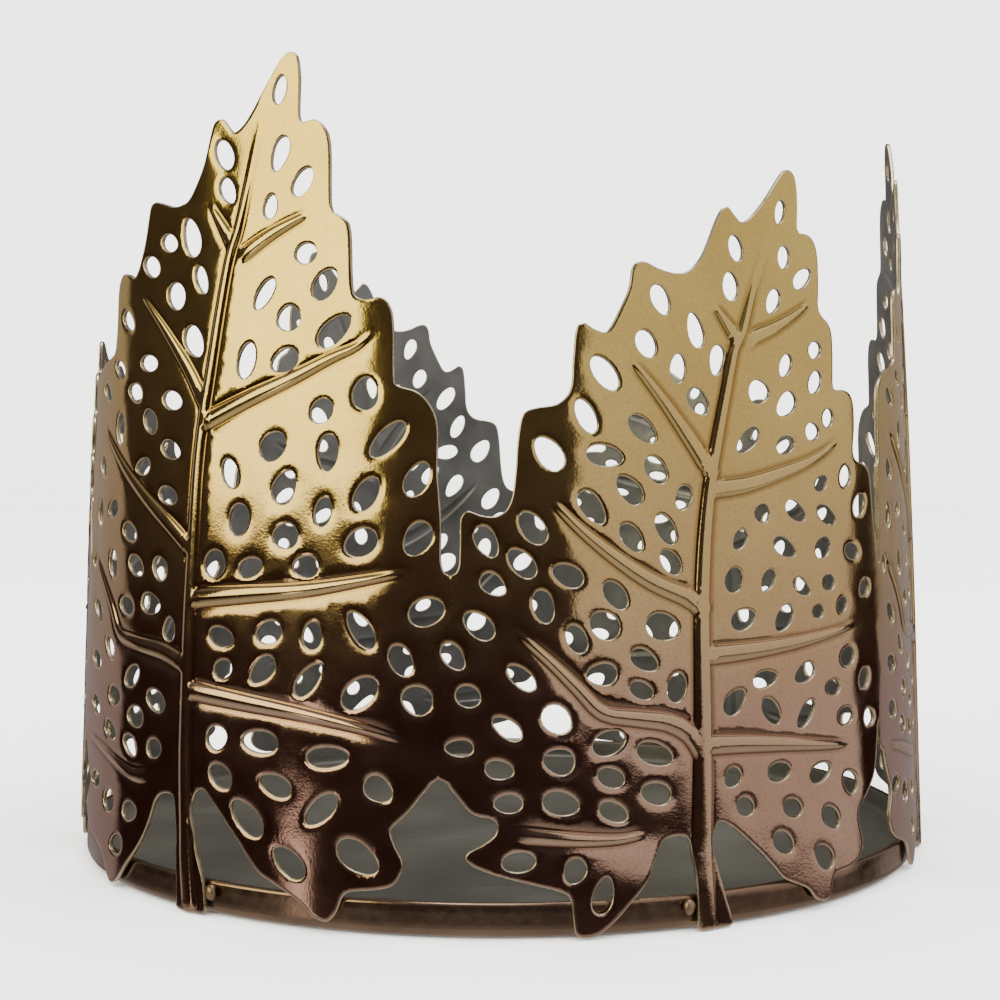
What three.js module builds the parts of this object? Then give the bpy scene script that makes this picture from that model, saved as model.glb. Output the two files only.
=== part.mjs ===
// Candle holder: a round sheet-metal pan inside an openwork wall of six leaves.
// Millimetres, +Z up, origin on the axis of the pan at the level it stands on.
// u is the distance around the wall on a cylinder of radius ROUND_R, from the
// front (-Y) towards +X. z is the height.
import * as THREE from 'three';
import { mergeVertices } from 'three/addons/utils/BufferGeometryUtils.js';

const ROUND_R = 55.4; // radius on which u is measured
const WALL_R = 56.2; // outer radius of the wall at z = 0
const WALL_LEAN = 0.026; // the wall leans inwards by this much per mm of height
const SHEET_T = 0.5; // leaf sheet thickness
const SEAM_GAP = 0.3; // between neighbouring leaves along the web
const WEB_Z = 40; // above this a leaf is stretched to its own height
const PAN_R = 55.3; // outer radius of the pan
const PAN_H = 3.8; // height of its rim
const PAN_T = 0.9; // pan sheet thickness
const PAN_CORNER = 1.0; // outside radius where floor turns into rim
const BEAD_R = 0.75; // weld bead radius
const SIDES_SMALL = 4; // sides of a small punched hole
const SIDES_LARGE = 5; // sides of a hole longer than LARGE_HOLE
const LARGE_HOLE = 4.4;

const BRONZE = { color: 0xb48a55, roughness: 0.22, metalness: 1.0 };
const PAN_GREY = { color: 0x8a7a66, roughness: 0.35, metalness: 1.0 };

// Where each leaf meets its neighbours, and the height of its tip.
const LEAVES = [
  { name: 'a', tall: true, left: -68, right: -5.4, tip: 96.4 },
  { name: 'b', tall: false, left: -5.4, right: 54.3, tip: 84.2 },
  { name: 'c', tall: true, left: 54.3, right: 104, tip: 94.5 },
  { name: 'd', tall: false, left: 104, right: 167.19, tip: 67 },
  { name: 'e', tall: false, left: 167.19, right: 223.64, tip: 84.2 },
  { name: 'f', tall: false, left: 223.64, right: 280.09, tip: 67 },
];

// Edge between two leaves: [z, shift of u], from the slot down to the notch.
const WEB_LINE = [[38.8,0],[34.7,0.3],[32.4,-0.9],[31.5,-1.8],[30.2,-1.7],[27,-1],[26,-0.5],[24,-1.2],[20.4,-1.5],[17.3,-1.2]];

// Leaf outlines [u, z] and punched holes [u, z, half length, half width, turn in degrees].
const TALL_TOP = [[-67.6,51.2],[-67.5,55],[-67.4,58.5],[-67,60.3],[-65.9,61.5],[-63.8,62.5],[-61.3,63.2],[-58.8,63.8],[-57.8,64.5],[-57.3,67],[-57.2,70.7],[-56.8,72.5],[-55.7,73.5],[-53.8,73.4],[-52.4,72.9],[-51.3,73.6],[-50.3,75.3],[-49.5,77.3],[-48.8,80],[-48.4,81.1],[-47.4,81.5],[-45.5,81.1],[-43.4,80.6],[-42,80.7],[-40.75,81.1],[-39.5,82.5],[-38,85],[-36.8,88.6],[-36.2,89.7],[-35.1,89.9],[-34.1,89],[-33,88.2],[-31.4,89],[-29.5,91.1],[-27.4,94],[-26,95.8],[-24.9,96.4],[-23.9,95.9],[-23.5,93.6],[-23.5,89.2],[-23,88.5],[-21.6,88.7],[-20.3,87.8],[-19.5,85.7],[-19.3,79.2],[-18.7,78.2],[-17.6,77.5],[-16.9,76.1],[-16.6,70.2],[-16,68.9],[-14.9,68.7],[-13.25,68.9],[-12.2,67.8],[-11.8,65.7],[-11.7,60.3],[-11.3,59.3],[-9.1,58.6],[-7.6,57.1],[-6.8,54.8],[-6.8,50],[-6.6,47.5],[-6.4,44.6],[-6.4,41],[-6.3,39.9],[-6,39.15],[-5.6,38.9]];
const TALL_BOTTOM = [[-7.2,16.6],[-8.25,15.4],[-9.9,13.3],[-11.4,11.9],[-11.8,11.2],[-11.2,9.6],[-10.5,8.3],[-10.5,7.1],[-11.4,5.6],[-13.3,5],[-16.2,4.6],[-17.1,4],[-17.8,2.3],[-18.7,1.3],[-19.5,1.2],[-20.75,1.7],[-22,2.9],[-25.3,4.6],[-27.4,5.6],[-29.1,7.3],[-30.3,8.75],[-32.4,11],[-34.5,13.1],[-35.75,14],[-36.8,13.5],[-37.5,12.3],[-37.4,10],[-36.6,6.7],[-35.5,3.75],[-35.1,1.2],[-35.4,0],[-39.5,0],[-39.8,1],[-40,4.2],[-40.3,8.3],[-40.9,12.1],[-42,12.7],[-43.8,12.3],[-44.9,11.2],[-45.9,9],[-47.2,6.7],[-48.8,4.8],[-50.9,2.9],[-52.6,1.3],[-54,0.4],[-55.2,0.3],[-56.5,1.3],[-58,3.2],[-60.5,4.2],[-63,4.8],[-65,5.6],[-66.2,6.9],[-66.3,8.3],[-65.4,9.8],[-65,11.2],[-66,12.5],[-67.4,14.5],[-68.4,16.2]];
const SHORT_TOP = [[-5.2,38.9],[-4.75,39.15],[-4.45,39.9],[-4.4,40.9],[-4.35,42.5],[-4.3,45],[-3.9,45.6],[-3.4,45.8],[-2,45.3],[-0.5,45.2],[0.6,45.8],[1.3,47.2],[1.7,50],[1.9,53],[2.3,55.6],[2.9,56.5],[4,56.9],[6,57.2],[7.2,57.9],[7.9,59.3],[8.1,62],[8.4,65],[8.8,65.9],[9.4,66.1],[10.3,65.5],[11.4,65.1],[12.2,65.4],[13.3,67.3],[14.5,69.8],[14.9,72],[15.6,72.8],[16.6,72.8],[18.3,72.1],[20.3,71.7],[22,72.1],[23.5,73.6],[24.6,75.7],[25.7,78],[26.6,79.2],[27.3,79.4],[28.1,78.6],[29.1,77.8],[30.2,78.2],[31.7,79.6],[33.7,82],[35.2,83.7],[36.2,84.2],[37.1,83.8],[37.6,82.4],[37.7,80],[37.6,77.6],[38,77.1],[39.5,77],[40.6,76.2],[41.2,74.5],[41.3,71],[41.2,68.9],[41.7,67.9],[43,67],[43.7,65.7],[43.8,63],[43.7,60],[44.2,59.3],[46,59.3],[47.4,58.8],[48.1,57.5],[48.2,55],[47.8,52.6],[48,51.4],[49,50.9],[51,50.4],[52,49.3],[52.4,47],[52.8,44],[53.3,41],[53.7,38.8]];
const SHORT_BOTTOM = [[52.6,19.4],[52.2,17.2],[51.2,13.9],[48.7,11.4],[47.2,10.2],[47.2,8.5],[47.8,7.25],[48,5.8],[47.2,4.75],[45.3,3.9],[42.4,3.6],[41.6,2.9],[41.2,1.4],[40.3,0.8],[38.7,1.2],[37.4,2.5],[35.75,3.3],[33.5,4.3],[32.2,5.6],[30.3,7.5],[28.25,9.3],[26.4,10.8],[24.9,11.5],[24.2,10.8],[23.9,8.9],[24.5,6.4],[25.5,3.1],[26.1,1],[25.9,0],[22.1,0],[21.8,1.2],[21.7,4.3],[21.4,7.7],[20.75,10.1],[18.1,10],[17,8.1],[16,5.8],[14.1,3.5],[12,1.4],[10.3,0.3],[8.7,0.1],[8,0.6],[7.8,1.8],[7.5,4.2],[6.6,5],[3.7,5.8],[-0.1,6.8],[-2.6,7.7],[-3.6,8.5],[-3.4,9.3],[-1.75,10.2],[-0.5,11.2],[-0.3,12.25],[-0.9,12.9],[-2.8,13.3],[-4.25,14.75],[-5.7,16.6]];
const TALL_HOLES = [[-26.2,92.3,1.6,0.85,75],[-34.7,85.9,2,1.3,-50],[-33.9,81.6,1.7,1.1,-50],[-26,85.25,2,1.05,68],[-23,81.8,1.8,1.05,52],[-27.3,79.3,1.35,0.9,75],[-40,76.7,2.4,1.45,-65],[-38,71.7,1.75,0.95,-62],[-22.5,73.9,1.4,1.1,10],[-28,69.6,2.1,0.9,50],[-19.9,70.5,1.9,1.25,50],[-24.6,66.8,1.6,1.35,20],[-18.9,65.2,2.4,1.2,38],[-30.4,62.3,2.1,1.2,70],[-25,62.2,1.9,1.2,22],[-15,58.4,1.75,1.45,80],[-20.3,56.5,1.5,1.2,40],[-12.3,53.5,2.6,1.1,42],[-26.4,52.75,1.9,1.45,35],[-19.4,51.9,2,1.2,85],[-39.2,64.75,2.1,1.5,-45],[-32.5,49.6,1.7,1.2,-65],[-31.1,44.5,1.8,1.45,75],[-24.9,48.1,2,1.4,60],[-24.7,42.8,1.65,1.35,10],[-19.9,45.6,1.6,1,75],[-14.8,47.5,2.05,1.2,55],[-15.5,42.2,2,1.4,25],[-9,49.2,2,1.2,58],[-8.9,42.8,1.95,1.4,55],[-34.7,39.4,1.7,1.5,30],[-29.4,39.2,1.7,1,20],[-22,39.5,1.6,1.15,5],[-7.9,34.9,2,1.4,20],[-33.5,31.3,1.9,1.05,-8],[-26.7,32.1,1.75,1.2,20],[-21.1,32.1,1.5,1.15,80],[-15.3,32.8,2.3,1.1,-52],[-10.8,29.7,1.75,1.2,-60],[-33,27.7,1.4,1,20],[-27.4,28,2,1.1,40],[-21.6,27.1,2.3,1,48],[-15.5,25.9,2.4,1.4,35],[-8.9,25.4,1.7,1.5,-20],[-33.7,20,1.55,1.3,20],[-27.8,20,2.4,1.2,0],[-19.2,18.9,2.5,1.1,5],[-33,15.7,1.8,1.2,-25],[-25.5,15.4,2.1,1.1,-15],[-13.25,15.8,1.65,1.3,-30],[-19.8,13.2,2.4,1.1,40],[-29.1,11.4,2.6,1.4,-38],[-15.5,8.4,2.6,1.5,-30],[-23.7,7.2,2.3,1.25,-35],[-44.2,76.4,1.6,1,-15],[-48,73.9,1.9,1.15,-20],[-42.8,70.2,1.8,1.5,-30],[-53.8,67.8,1.8,0.95,-30],[-56,62,1.7,0.95,-25],[-48.2,62.5,1.9,0.95,-5],[-61.2,59.4,2,0.95,-25],[-51.5,59.1,1.8,1.05,-15],[-42.9,58,1.9,1.05,-10],[-55.6,54.8,2,1.2,88],[-47.7,55.7,1.75,1.2,-40],[-43,52.3,1.9,1,-15],[-49.2,50.3,1.7,0.95,10],[-62.3,50.2,1.7,1.2,-35],[-43.5,47,1.9,1,-10],[-57.6,45.1,1.7,1.05,15],[-52.3,42.4,1.9,1,-15],[-63.2,44.4,1.8,1.3,85],[-57.25,38.4,1.9,1.3,-70],[-50.3,38.5,1.9,1.1,-20],[-44.75,38.5,1.6,1.3,-30],[-46.75,34.25,2.1,1.2,-5],[-52.7,33.6,1.9,1.05,-5],[-63,32.3,2.1,1.1,-28],[-42.6,31.5,1.4,1.1,75],[-57.8,28.2,1.9,1,-35],[-63.2,26.2,2.1,1.05,-8],[-50.8,25.4,2,1.1,28],[-45.2,23.1,2,1.2,-15],[-55.9,22.5,1.9,1.15,0],[-49.7,20.7,1.9,1.2,0],[-63.2,20.6,2,1.1,-15],[-57.2,18.2,2,1.1,-12],[-51,17.2,1.8,1.1,-20],[-45.2,17.5,1.5,1.1,10],[-62.6,11.4,2,1,5],[-57,9.7,1.8,1.35,0],[-50.6,9.4,1.7,1.1,5],[-53.6,5,1.8,1.15,15],[-66,38.5,1.2,0.9,80]];
const SHORT_HOLES = [[28.25,74.8,1.5,0.9,-75],[27.4,70.6,1.6,1,-85],[18.3,68.7,1.75,1,-65],[22.7,65.4,2,0.95,-75],[16.5,63.9,1.6,1.1,-60],[20.4,61.2,1.6,0.95,85],[25.4,62.3,1.7,0.9,80],[22.9,57.6,1.7,1.1,-50],[11.6,60.7,2.2,1.15,-50],[9.5,56,2,1,-62],[16.1,54.5,2,1.05,-40],[5.4,51.9,2.1,1.3,-50],[11.5,51.7,2.1,1.1,-10],[17.6,50.1,1.7,1.1,-50],[14.5,47.9,1.9,1.1,-45],[10.1,46.1,2.1,1.1,-52],[20.9,47,1.35,0.95,75],[18.75,43.6,1.85,1,-58],[14.7,42.7,1.8,1,-50],[3.5,44,2,1.2,-50],[-1.5,42.5,1.8,1.1,-60],[19.3,40,1.6,0.95,-50],[2.4,40.1,1.9,1.1,-45],[-0.8,37.9,1.5,1,-35],[7.4,38.8,1.8,1.1,-25],[12.8,36.5,1.8,1.05,-48],[4.7,35.5,1.8,1.1,-75],[11.4,33.4,1.8,1.4,-30],[18.3,33,2,1.4,-15],[-2.2,33.4,1.9,1.15,-38],[8.3,32,1.6,1.05,-60],[16,29.5,1.75,1,-30],[11.2,28.1,1.7,1.15,0],[15.7,26.2,1.45,0.85,-25],[19.8,26.3,1.6,1.1,80],[2.3,27.9,1.85,0.9,-40],[6.2,23.3,1.8,1.4,-40],[0.75,22.5,1.8,0.9,-35],[11.8,20.7,1.9,1.25,20],[17.2,19.3,2.2,1.15,-20],[6.4,18.9,1.7,1.35,-15],[-0.1,18.1,1.5,0.95,-10],[12,17,1.55,1,-20],[17.3,15,1.75,1.15,-15],[6.6,14.4,2,1.2,-15],[0.8,14.5,1.5,0.95,0],[12.3,13.3,1.7,0.95,-25],[2.1,8.3,1.8,1.05,5],[8,7.2,1.35,1.15,60],[11,4.4,2,1.1,75],[34.8,79.25,1.4,0.75,75],[35.3,74.2,1.3,0.95,80],[38.4,71.9,1.8,0.95,30],[33.4,69,1.5,0.95,60],[40.5,63.8,1.2,0.95,20],[35.25,61.9,1.4,0.9,60],[40.3,60,1.5,1.05,50],[31,58.8,1.5,1.3,0],[35.3,57.5,1.75,1.2,35],[42.7,56,1.15,1,45],[39.6,54.4,1.25,1,0],[29.3,53.4,1.9,0.95,40],[35.1,52.9,1.5,1,15],[46,49.2,1.4,1.15,45],[41,48.4,1.25,0.8,25],[49.2,45.8,1.7,1.2,35],[31.2,45.2,1.1,1.05,0],[36.4,45.4,1.8,1,-30],[41.9,44.8,1.9,0.95,-25],[28,42.4,1.25,0.85,55],[34.6,41.3,1.9,0.95,-25],[41,41,1.5,1.1,30],[47.1,40.4,1.6,0.95,-10],[27.1,38,1.4,1.15,70],[31.9,37.7,1.35,0.85,55],[37.1,36.8,1.6,0.85,-30],[42.1,37,1.15,0.9,0],[50,36,1.3,1,30],[28.25,33.5,1.7,1.1,15],[34.2,33.3,1.7,1.1,48],[40,33.8,1,0.8,0],[44.7,34.3,1.15,0.9,25],[45.5,28.2,1.6,1.1,10],[31.25,26.7,1.75,0.9,8],[37.5,27,1.75,1,20],[49.3,25.3,1.4,1.1,40],[26.9,24.4,1.7,1.1,42],[42.4,24.9,1.4,0.9,0],[32.1,23,1.8,1,-50],[37.4,22.3,1.9,0.9,48],[44.8,21.4,1.6,1,0],[50.4,20.6,1.3,1.05,0],[26.6,16.2,1.15,1,45],[33,16.2,1.7,1.05,5],[39.7,15.4,1.9,1.05,12],[45.6,13.6,1.7,1.2,-35],[28.25,12.8,1.2,1,-30],[34.9,12,1.5,1,-20],[41.5,10.1,1.8,1.1,-35],[33.6,8.2,1.7,1.1,-35],[40.1,5.8,1.9,1.2,-38],[-5.1,30.2,1.6,1,-50],[-3.4,25.9,1.35,1.1,-20],[-4.3,20.4,1.5,0.85,0]];

const TALL_SPAN = [-68, -5.4], SHORT_SPAN = [-5.4, 54.3];

function webShift(z) {
  if (z >= WEB_LINE[0][0]) return WEB_LINE[0][1];
  for (let i = 1; i < WEB_LINE.length; i++) {
    const [z1, s1] = WEB_LINE[i - 1], [z0, s0] = WEB_LINE[i];
    if (z >= z0) return s0 + ((s1 - s0) * (z - z0)) / (z1 - z0);
  }
  return WEB_LINE[WEB_LINE.length - 1][1];
}

// Edge of a leaf along its web, from zTop to zBottom.
function webEdge(u, zTop, zBottom) {
  const line = [[u + webShift(zTop), zTop]];
  for (const [z, s] of WEB_LINE) if (z < zTop - 0.8 && z > zBottom + 0.8) line.push([u + s, z]);
  line.push([u + webShift(zBottom), zBottom]);
  return line;
}

function leafShape(leaf) {
  const span = leaf.tall ? TALL_SPAN : SHORT_SPAN;
  const top = leaf.tall ? TALL_TOP : SHORT_TOP;
  const bottom = leaf.tall ? TALL_BOTTOM : SHORT_BOTTOM;
  const holes = leaf.tall ? TALL_HOLES : SHORT_HOLES;
  const su = (leaf.right - leaf.left) / (span[1] - span[0]);
  const sz = (leaf.tip - WEB_Z) / ((leaf.tall ? 96.4 : 84.2) - WEB_Z);
  const mu = (u) => leaf.left + (u - span[0]) * su;
  const mz = (z) => (z > WEB_Z ? WEB_Z + (z - WEB_Z) * sz : z);
  const place = ([u, z]) => [mu(u), mz(z)];
  const rightTop = mz(top[top.length - 1][1]) - 0.5, rightLow = bottom[0][1] + 0.5;
  const leftTop = mz(top[0][1]) - 0.5, leftLow = bottom[bottom.length - 1][1] + 0.5;
  const outline = [
    ...top.map(place),
    ...webEdge(leaf.right - SEAM_GAP / 2, rightTop, rightLow),
    ...bottom.map(place),
    ...webEdge(leaf.left + SEAM_GAP / 2, leftTop, leftLow).reverse(),
  ];
  const cuts = holes.map(([u, z, a, b, turn]) => {
    const sides = 2 * a >= LARGE_HOLE ? SIDES_LARGE : SIDES_SMALL;
    // Grown so that the polygon has the area of the oval.
    const grow = Math.sqrt((2 * Math.PI) / (sides * Math.sin((2 * Math.PI) / sides)));
    const c = Math.cos((turn * Math.PI) / 180), s = Math.sin((turn * Math.PI) / 180);
    const tall = z > WEB_Z ? Math.min(sz, 1) : 1;
    const pts = [];
    for (let k = 0; k < sides; k++) {
      const t = (2 * Math.PI * k) / sides;
      const x = a * grow * 0.94 * Math.cos(t), y = b * grow * 0.94 * Math.sin(t);
      pts.push([mu(u) + (x * c - y * s) * Math.min(su, 1), mz(z) + (x * s + y * c) * tall]);
    }
    return pts;
  });
  return { outline, cuts };
}

// Triangles of an outline with holes, with edges flipped until none is needlessly long.
function fill(outline, cuts) {
  const v2 = (p) => new THREE.Vector2(p[0], p[1]);
  let ring = outline.map(v2);
  if (THREE.ShapeUtils.isClockWise(ring)) ring.reverse();
  const rings = cuts.map((c) => {
    const r = c.map(v2);
    return THREE.ShapeUtils.isClockWise(r) ? r : r.reverse();
  });
  const faces = THREE.ShapeUtils.triangulateShape(ring, rings).map((f) => [...f]);
  const pts = [...ring, ...rings.flat()];
  const area = (a, b, c) => (pts[b].x - pts[a].x) * (pts[c].y - pts[a].y) - (pts[b].y - pts[a].y) * (pts[c].x - pts[a].x);
  for (const f of faces) if (area(...f) < 0) f.reverse();
  const key = (a, b) => a * pts.length + b;
  for (let pass = 0, changed = true; changed && pass < 60; pass++) {
    changed = false;
    const owner = new Map();
    faces.forEach((f, i) => { for (let k = 0; k < 3; k++) owner.set(key(f[k], f[(k + 1) % 3]), i); });
    const done = new Set();
    faces.forEach((f, i) => {
      for (let k = 0; k < 3; k++) {
        const a = faces[i][k], b = faces[i][(k + 1) % 3], c = faces[i][(k + 2) % 3];
        const j = owner.get(key(b, a));
        if (j === undefined || done.has(i) || done.has(j)) continue;
        const d = faces[j].find((n) => n !== a && n !== b);
        const A = pts[a].clone().sub(pts[d]), B = pts[b].clone().sub(pts[d]), C = pts[c].clone().sub(pts[d]);
        const inCircle = A.lengthSq() * (B.x * C.y - B.y * C.x) - B.lengthSq() * (A.x * C.y - A.y * C.x) + C.lengthSq() * (A.x * B.y - A.y * B.x);
        if (inCircle > 1e-9 && area(a, d, c) > 1e-6 && area(d, b, c) > 1e-6) {
          faces[i] = [a, d, c];
          faces[j] = [d, b, c];
          done.add(i);
          done.add(j);
          changed = true;
        }
      }
    });
  }
  return { pts, faces };
}

// A leaf bent around the wall, SHEET_T thick.
function leafGeometry(leaf) {
  const { outline, cuts } = leafShape(leaf);
  const { pts, faces } = fill(outline, cuts);
  const n = pts.length, pos = [], index = [];
  for (const inner of [0, SHEET_T]) {
    for (const p of pts) {
      const r = WALL_R - WALL_LEAN * p.y - inner, t = p.x / ROUND_R;
      pos.push(r * Math.sin(t), -r * Math.cos(t), p.y);
    }
  }
  const edges = new Set();
  for (const [a, b, c] of faces) {
    index.push(a, b, c, n + a, n + c, n + b);
    for (const [i, j] of [[a, b], [b, c], [c, a]]) edges.add(i * n + j);
  }
  for (const e of edges) {
    const i = Math.floor(e / n), j = e % n;
    if (!edges.has(j * n + i)) index.push(i, n + i, j, j, n + i, n + j);
  }
  const g = new THREE.BufferGeometry();
  g.setAttribute('position', new THREE.Float32BufferAttribute(pos, 3));
  g.setIndex(index);
  g.computeVertexNormals();
  return g;
}

// The pan is turned from one closed profile [r, z].
function panGeometry() {
  const p = [[0, 0]];
  for (let k = 0; k <= 4; k++) {
    const t = (k / 4) * Math.PI * 0.5;
    p.push([PAN_R - PAN_CORNER + PAN_CORNER * Math.sin(t), PAN_CORNER - PAN_CORNER * Math.cos(t)]);
  }
  const lip = PAN_T / 2;
  for (let k = 0; k <= 4; k++) {
    const t = (k / 4) * Math.PI;
    p.push([PAN_R - lip + lip * Math.cos(t), PAN_H - lip + lip * Math.sin(t)]);
  }
  p.push([PAN_R - PAN_T, PAN_T + 0.6], [PAN_R - PAN_T - 0.18, PAN_T + 0.18], [PAN_R - PAN_T - 0.6, PAN_T], [0, PAN_T]);
  let g = new THREE.LatheGeometry(p.map(([r, z]) => new THREE.Vector2(r, z)), 60);
  g.rotateX(Math.PI / 2);
  g.deleteAttribute('uv');
  g.deleteAttribute('normal');
  return mergeVertices(g, 1e-4);
}

// Weld bead beside a stem, at the lip of the pan: right of a tall leaf's stem, left of a short one's.
function beadGeometry(leaf) {
  const span = leaf.tall ? TALL_SPAN : SHORT_SPAN;
  const stemEdge = leaf.tall ? -35.1 : 21.7;
  const side = leaf.tall ? 1 : -1;
  const u = leaf.left + ((stemEdge - span[0]) * (leaf.right - leaf.left)) / (span[1] - span[0]);
  const g = new THREE.SphereGeometry(BEAD_R, 10, 6);
  g.scale(1, 1, 1.3);
  const r = PAN_R + 0.3 + BEAD_R, t = (u + side * (0.3 + BEAD_R)) / ROUND_R;
  g.translate(r * Math.sin(t), -r * Math.cos(t), PAN_H - 1.2);
  g.deleteAttribute('uv');
  g.deleteAttribute('normal');
  return mergeVertices(g, 1e-4);
}

const holder = new THREE.Group();
holder.name = 'leaf_candle_holder';
function add(name, geometry, look) {
  geometry.computeVertexNormals();
  const mesh = new THREE.Mesh(geometry, new THREE.MeshStandardMaterial(look));
  mesh.name = name;
  holder.add(mesh);
}
add('base_pan', panGeometry(), PAN_GREY);
for (const leaf of LEAVES) add('leaf_panel_' + leaf.name, leafGeometry(leaf), BRONZE);
for (const leaf of LEAVES) add('stem_weld_' + leaf.name, beadGeometry(leaf), BRONZE);

export default holder;
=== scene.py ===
import math

import bpy
import numpy as np
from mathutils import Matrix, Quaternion, Vector
from mathutils.geometry import delaunay_2d_cdt


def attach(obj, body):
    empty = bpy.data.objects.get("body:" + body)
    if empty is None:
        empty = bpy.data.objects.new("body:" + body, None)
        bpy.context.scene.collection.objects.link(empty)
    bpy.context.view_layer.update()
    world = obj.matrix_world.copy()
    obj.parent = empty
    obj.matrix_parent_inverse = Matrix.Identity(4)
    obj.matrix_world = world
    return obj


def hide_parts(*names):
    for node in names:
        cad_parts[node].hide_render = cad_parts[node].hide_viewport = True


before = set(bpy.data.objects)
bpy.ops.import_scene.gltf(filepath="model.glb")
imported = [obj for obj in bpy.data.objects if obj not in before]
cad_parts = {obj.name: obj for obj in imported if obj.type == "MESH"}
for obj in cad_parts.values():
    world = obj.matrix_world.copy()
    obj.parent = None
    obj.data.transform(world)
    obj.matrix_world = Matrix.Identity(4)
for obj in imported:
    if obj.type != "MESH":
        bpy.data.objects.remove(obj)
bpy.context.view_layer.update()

# ------------------------------------------------------------------ sizes, mm
MM = 0.001
ROUND_R = 55.4        # radius on which the leaf outlines are laid out
WALL_R = 56.2         # outer radius of the wall at the table
WALL_LEAN = 0.026     # inward lean of the wall per mm of height
SHEET_T = 0.5
WEB_Z = 40.0          # below this height every leaf has the same lobes
WEB_GAP = 0.02        # hairline between two leaves at a web
EDGE_OUT = 0.13       # rounding of the cut edges, outside
EDGE_IN = 0.08        # and inside
PAN_R = 55.3
PAN_H = 3.8
PAN_T = 0.9

TALL_SPAN = (-68.0, -5.4)
SHORT_SPAN = (-5.4, 54.3)
TALL_TIP = 96.4
SHORT_TIP = 84.2

# name, tall, left edge, right edge, height of the tip
LEAVES = [
    ("a", True, -68.0, -5.4, 96.4),
    ("b", False, -5.4, 54.3, 84.2),
    ("c", True, 54.3, 104.0, 94.5),
    ("d", False, 104.0, 167.19, 67.0),
    ("e", False, 167.19, 223.64, 84.2),
    ("f", False, 223.64, 280.09, 67.0),
]

# Line shared by two neighbouring leaves: height, shift along the wall.
WEB_LINE = [[38.8, 0], [34.7, 0.3], [32.4, -0.9], [31.5, -1.8], [30.2, -1.7],
            [27, -1], [26, -0.5], [24, -1.2], [20.4, -1.5], [17.3, -1.2]]

# Outlines [along the wall, height]; holes [along, height, half length, half width, turn].
TALL_TOP = [[-67.6,51.2],[-67.5,55],[-67.4,58.5],[-67,60.3],[-65.9,61.5],[-63.8,62.5],[-61.3,63.2],[-58.8,63.8],[-57.8,64.5],[-57.3,67],[-57.2,70.7],[-56.8,72.5],[-55.7,73.5],[-53.8,73.4],[-52.4,72.9],[-51.3,73.6],[-50.3,75.3],[-49.5,77.3],[-48.8,80],[-48.4,81.1],[-47.4,81.5],[-45.5,81.1],[-43.4,80.6],[-42,80.7],[-40.75,81.1],[-39.5,82.5],[-38,85],[-36.8,88.6],[-36.2,89.7],[-35.1,89.9],[-34.1,89],[-33,88.2],[-31.4,89],[-29.5,91.1],[-27.4,94],[-26,95.8],[-24.9,96.4],[-23.9,95.9],[-23.5,93.6],[-23.5,89.2],[-23,88.5],[-21.6,88.7],[-20.3,87.8],[-19.5,85.7],[-19.3,79.2],[-18.7,78.2],[-17.6,77.5],[-16.9,76.1],[-16.6,70.2],[-16,68.9],[-14.9,68.7],[-13.25,68.9],[-12.2,67.8],[-11.8,65.7],[-11.7,60.3],[-11.3,59.3],[-9.1,58.6],[-7.6,57.1],[-6.8,54.8],[-6.8,50],[-6.6,47.5],[-6.4,44.6],[-6.4,41],[-6.3,39.9],[-6,39.15],[-5.6,38.9]]
TALL_BOTTOM = [[-7.2,16.6],[-8.25,15.4],[-9.9,13.3],[-11.4,11.9],[-11.8,11.2],[-11.2,9.6],[-10.5,8.3],[-10.5,7.1],[-11.4,5.6],[-13.3,5],[-16.2,4.6],[-17.1,4],[-17.8,2.3],[-18.7,1.3],[-19.5,1.2],[-20.75,1.7],[-22,2.9],[-25.3,4.6],[-27.4,5.6],[-29.1,7.3],[-30.3,8.75],[-32.4,11],[-34.5,13.1],[-35.75,14],[-36.8,13.5],[-37.5,12.3],[-37.4,10],[-36.6,6.7],[-35.5,3.75],[-35.1,1.2],[-35.4,0],[-39.5,0],[-39.8,1],[-40,4.2],[-40.3,8.3],[-40.9,12.1],[-42,12.7],[-43.8,12.3],[-44.9,11.2],[-45.9,9],[-47.2,6.7],[-48.8,4.8],[-50.9,2.9],[-52.6,1.3],[-54,0.4],[-55.2,0.3],[-56.5,1.3],[-58,3.2],[-60.5,4.2],[-63,4.8],[-65,5.6],[-66.2,6.9],[-66.3,8.3],[-65.4,9.8],[-65,11.2],[-66,12.5],[-67.4,14.5],[-68.4,16.2]]
SHORT_TOP = [[-5.2,38.9],[-4.75,39.15],[-4.45,39.9],[-4.4,40.9],[-4.35,42.5],[-4.3,45],[-3.9,45.6],[-3.4,45.8],[-2,45.3],[-0.5,45.2],[0.6,45.8],[1.3,47.2],[1.7,50],[1.9,53],[2.3,55.6],[2.9,56.5],[4,56.9],[6,57.2],[7.2,57.9],[7.9,59.3],[8.1,62],[8.4,65],[8.8,65.9],[9.4,66.1],[10.3,65.5],[11.4,65.1],[12.2,65.4],[13.3,67.3],[14.5,69.8],[14.9,72],[15.6,72.8],[16.6,72.8],[18.3,72.1],[20.3,71.7],[22,72.1],[23.5,73.6],[24.6,75.7],[25.7,78],[26.6,79.2],[27.3,79.4],[28.1,78.6],[29.1,77.8],[30.2,78.2],[31.7,79.6],[33.7,82],[35.2,83.7],[36.2,84.2],[37.1,83.8],[37.6,82.4],[37.7,80],[37.6,77.6],[38,77.1],[39.5,77],[40.6,76.2],[41.2,74.5],[41.3,71],[41.2,68.9],[41.7,67.9],[43,67],[43.7,65.7],[43.8,63],[43.7,60],[44.2,59.3],[46,59.3],[47.4,58.8],[48.1,57.5],[48.2,55],[47.8,52.6],[48,51.4],[49,50.9],[51,50.4],[52,49.3],[52.4,47],[52.8,44],[53.3,41],[53.7,38.8]]
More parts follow.
